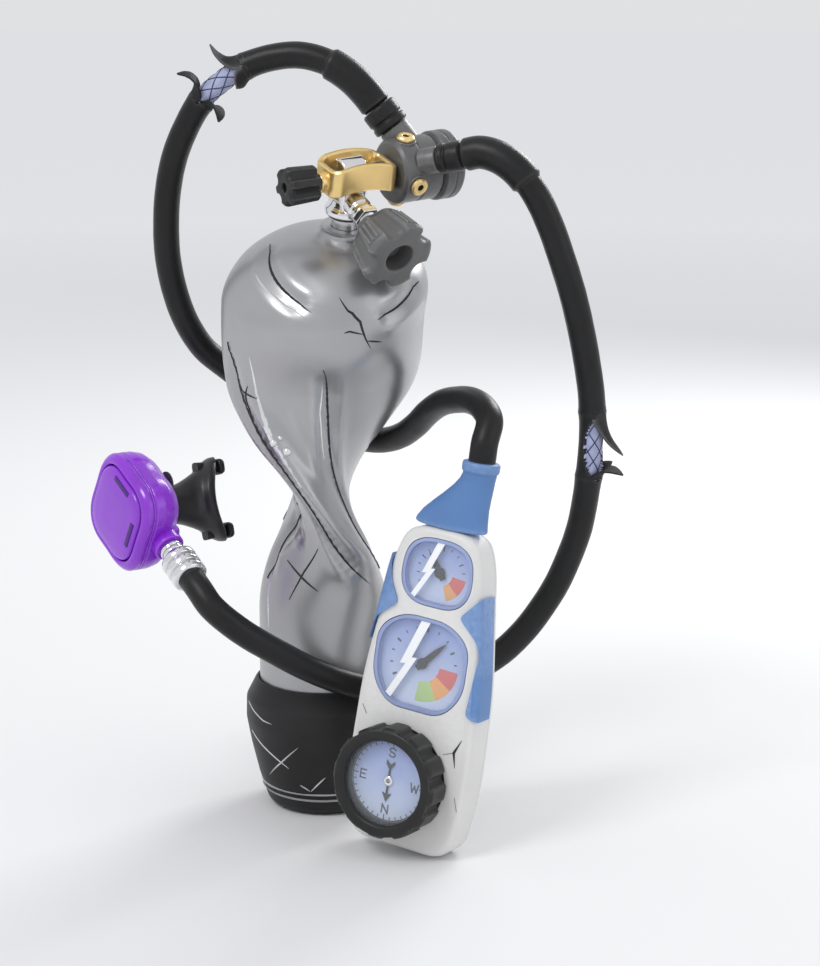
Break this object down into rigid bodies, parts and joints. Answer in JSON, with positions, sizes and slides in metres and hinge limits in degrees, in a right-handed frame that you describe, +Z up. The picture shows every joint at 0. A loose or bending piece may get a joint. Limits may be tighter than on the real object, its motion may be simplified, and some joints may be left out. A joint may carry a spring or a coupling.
{
  "type": "scuba tank",
  "caption": "Twisted metal scuba cylinder in a rubber boot, with yoke valve, first stage, torn hoses, purple second stage and a console with gauges and compass",
  "frame": {"origin": "centre of the boot's flat underside, on the floor", "axes": "+Z up along the tank, -Y towards the front where the console stands, +X to the side of the breathing hose's loop"},
  "size_m": [0.4694, 0.2986, 0.7057],
  "materials": {
    "tank_metal": "brushed, dented",
    "boot_rubber": "moulded, scratched",
    "chrome": "polished",
    "brass": "satin",
    "knob_plastic": "satin",
    "black_plastic": "satin",
    "stage_metal": "satin",
    "hose_rubber": "smooth",
    "silicone": "smooth",
    "steel": "machined",
    "purple_plastic": "gloss",
    "shell_plastic": "satin",
    "blue_rubber": "satin",
    "dial": "printed",
    "needle": "satin",
    "lens": "polished"
  },
  "bodies": {
    "tank": {"tank_shell": "tank_metal", "tank_boot": "boot_rubber", "valve_body": "chrome", "valve_bonnet_nut": "chrome", "inlet_connector": "chrome", "breathing_hose_ferrule": "chrome", "yoke": "brass", "port_plug_upper": "brass", "port_plug_front": "brass", "port_plug_rear": "brass", "valve_dip_tube": "brass", "burst_disc_plug": "brass", "bourdon_tube": "brass", "compass_capsule": "black_plastic", "piston_seat": "black_plastic", "first_stage_body": "stage_metal", "first_stage_cap": "stage_metal", "gauge_hose": "hose_rubber", "breathing_hose": "hose_rubber", "gauge_hose_sleeve": "hose_rubber", "breathing_hose_sleeve": "hose_rubber", "gauge_hose_fitting": "hose_rubber", "breathing_hose_fitting": "hose_rubber", "neck_o_ring": "silicone", "outlet_o_ring": "silicone", "piston_spring": "steel", "inlet_filter": "steel", "console_shell": "shell_plastic", "console_back_cover": "shell_plastic", "console_left_grip": "blue_rubber", "console_right_grip": "blue_rubber", "console_collar": "blue_rubber", "depth_capsule": "dial", "pressure_capsule": "dial", "depth_lens": "lens", "pressure_lens": "lens", "compass_lens": "lens"},
    "valve_seat": {"valve_seat_plunger": "black_plastic"},
    "valve_handwheel": {"valve_knob": "knob_plastic", "valve_stem": "steel", "knob_nut": "chrome"},
    "screw_pad": {"yoke_screw_pad": "chrome"},
    "screw": {"yoke_screw": "steel", "yoke_knob": "black_plastic"},
    "piston_set": {"piston": "chrome"},
    "mouth_unit": {"second_stage_housing": "purple_plastic", "second_stage_cover": "purple_plastic", "mouthpiece": "silicone", "mouthpiece_tie": "black_plastic", "diaphragm": "silicone", "exhaust_valve": "silicone", "inlet_barrel": "chrome", "poppet_spring": "steel"},
    "purge_button": {"purge_cover": "purple_plastic"},
    "lever": {"demand_lever": "steel"},
    "poppet_valve": {"poppet": "black_plastic"},
    "depth_pointer": {"depth_needle": "needle"},
    "pressure_pointer": {"pressure_needle": "needle"},
    "compass_rose": {"compass_card": "dial"},
    "bezel": {"compass_bezel": "black_plastic"}
  },
  "joints": [
    {"name": "valve_knob_turn", "type": "hinge", "parent": "tank", "child": "valve_handwheel", "pos_m": [0.02614, -0.04177, 0.57336], "axis": [0.4944, -0.6983, -0.5177], "range_deg": [0, 900]},
    {"name": "valve_seat_travel", "type": "slide", "parent": "tank", "child": "valve_seat", "axis": [0.4944, -0.6983, -0.5177], "range_m": [0, 0.004]},
    {"name": "yoke_pad_travel", "type": "slide", "parent": "tank", "child": "screw_pad", "axis": [-0.8435, -0.5292, -0.0917], "range_m": [0, 0.0046]},
    {"name": "yoke_screw_turn", "type": "hinge", "parent": "screw_pad", "child": "screw", "pos_m": [0.00258, -0.0632, 0.58658], "axis": [-0.8435, -0.5292, -0.0917], "range_deg": [0, 1080]},
    {"name": "piston_travel", "type": "slide", "parent": "tank", "child": "piston_set", "axis": [0.8435, 0.5292, 0.0917], "range_m": [-0.0008, 0], "stiffness_N_per_m": 5000, "deforming": ["piston_spring"]},
    {"name": "second_stage_swivel", "type": "hinge", "parent": "tank", "child": "mouth_unit", "pos_m": [-0.13202, -0.07237, 0.25852], "axis": [-0.5199, 0.6998, 0.4899], "continuous": true},
    {"name": "purge_press", "type": "slide", "parent": "mouth_unit", "child": "purge_button", "axis": [0.7975, 0.6031, -0.0153], "range_m": [0, 0.003], "stiffness_N_per_m": 300},
    {"name": "demand_lever_tilt", "type": "hinge", "parent": "mouth_unit", "child": "lever", "pos_m": [-0.15985, -0.04161, 0.2818], "axis": [-0.3061, 0.3827, -0.8717], "range_deg": [0, 8]},
    {"name": "poppet_travel", "type": "slide", "parent": "mouth_unit", "child": "poppet_valve", "axis": [-0.5199, 0.6998, 0.4899], "range_m": [0, 0.0012]},
    {"name": "depth_needle_swing", "type": "hinge", "parent": "tank", "child": "depth_pointer", "pos_m": [0.10803, -0.12989, 0.2537], "axis": [0.4669, 0.8781, -0.1045], "range_deg": [-97, 173]},
    {"name": "pressure_needle_swing", "type": "hinge", "parent": "tank", "child": "pressure_pointer", "pos_m": [0.09282, -0.13153, 0.17202], "axis": [0.4669, 0.8781, -0.1045], "range_deg": [-177, 93]},
    {"name": "compass_card_turn", "type": "hinge", "parent": "tank", "child": "compass_rose", "pos_m": [0.0639, -0.14984, 0.07078], "axis": [0.4669, 0.8781, -0.1045], "continuous": true},
    {"name": "compass_bezel_turn", "type": "hinge", "parent": "tank", "child": "bezel", "pos_m": [0.0639, -0.14984, 0.07078], "axis": [0.4669, 0.8781, -0.1045], "continuous": true}
  ],
  "couplings": [
    {"joint": "valve_seat_travel", "follows": "valve_knob_turn", "m_per_rad": 0.00023873},
    {"joint": "yoke_pad_travel", "follows": "yoke_screw_turn", "m_per_rad": 0.00023873},
    {"joint": "demand_lever_tilt", "follows": "purge_press", "rad_per_m": 44},
    {"joint": "poppet_travel", "follows": "purge_press", "ratio": 0.38}
  ]
}
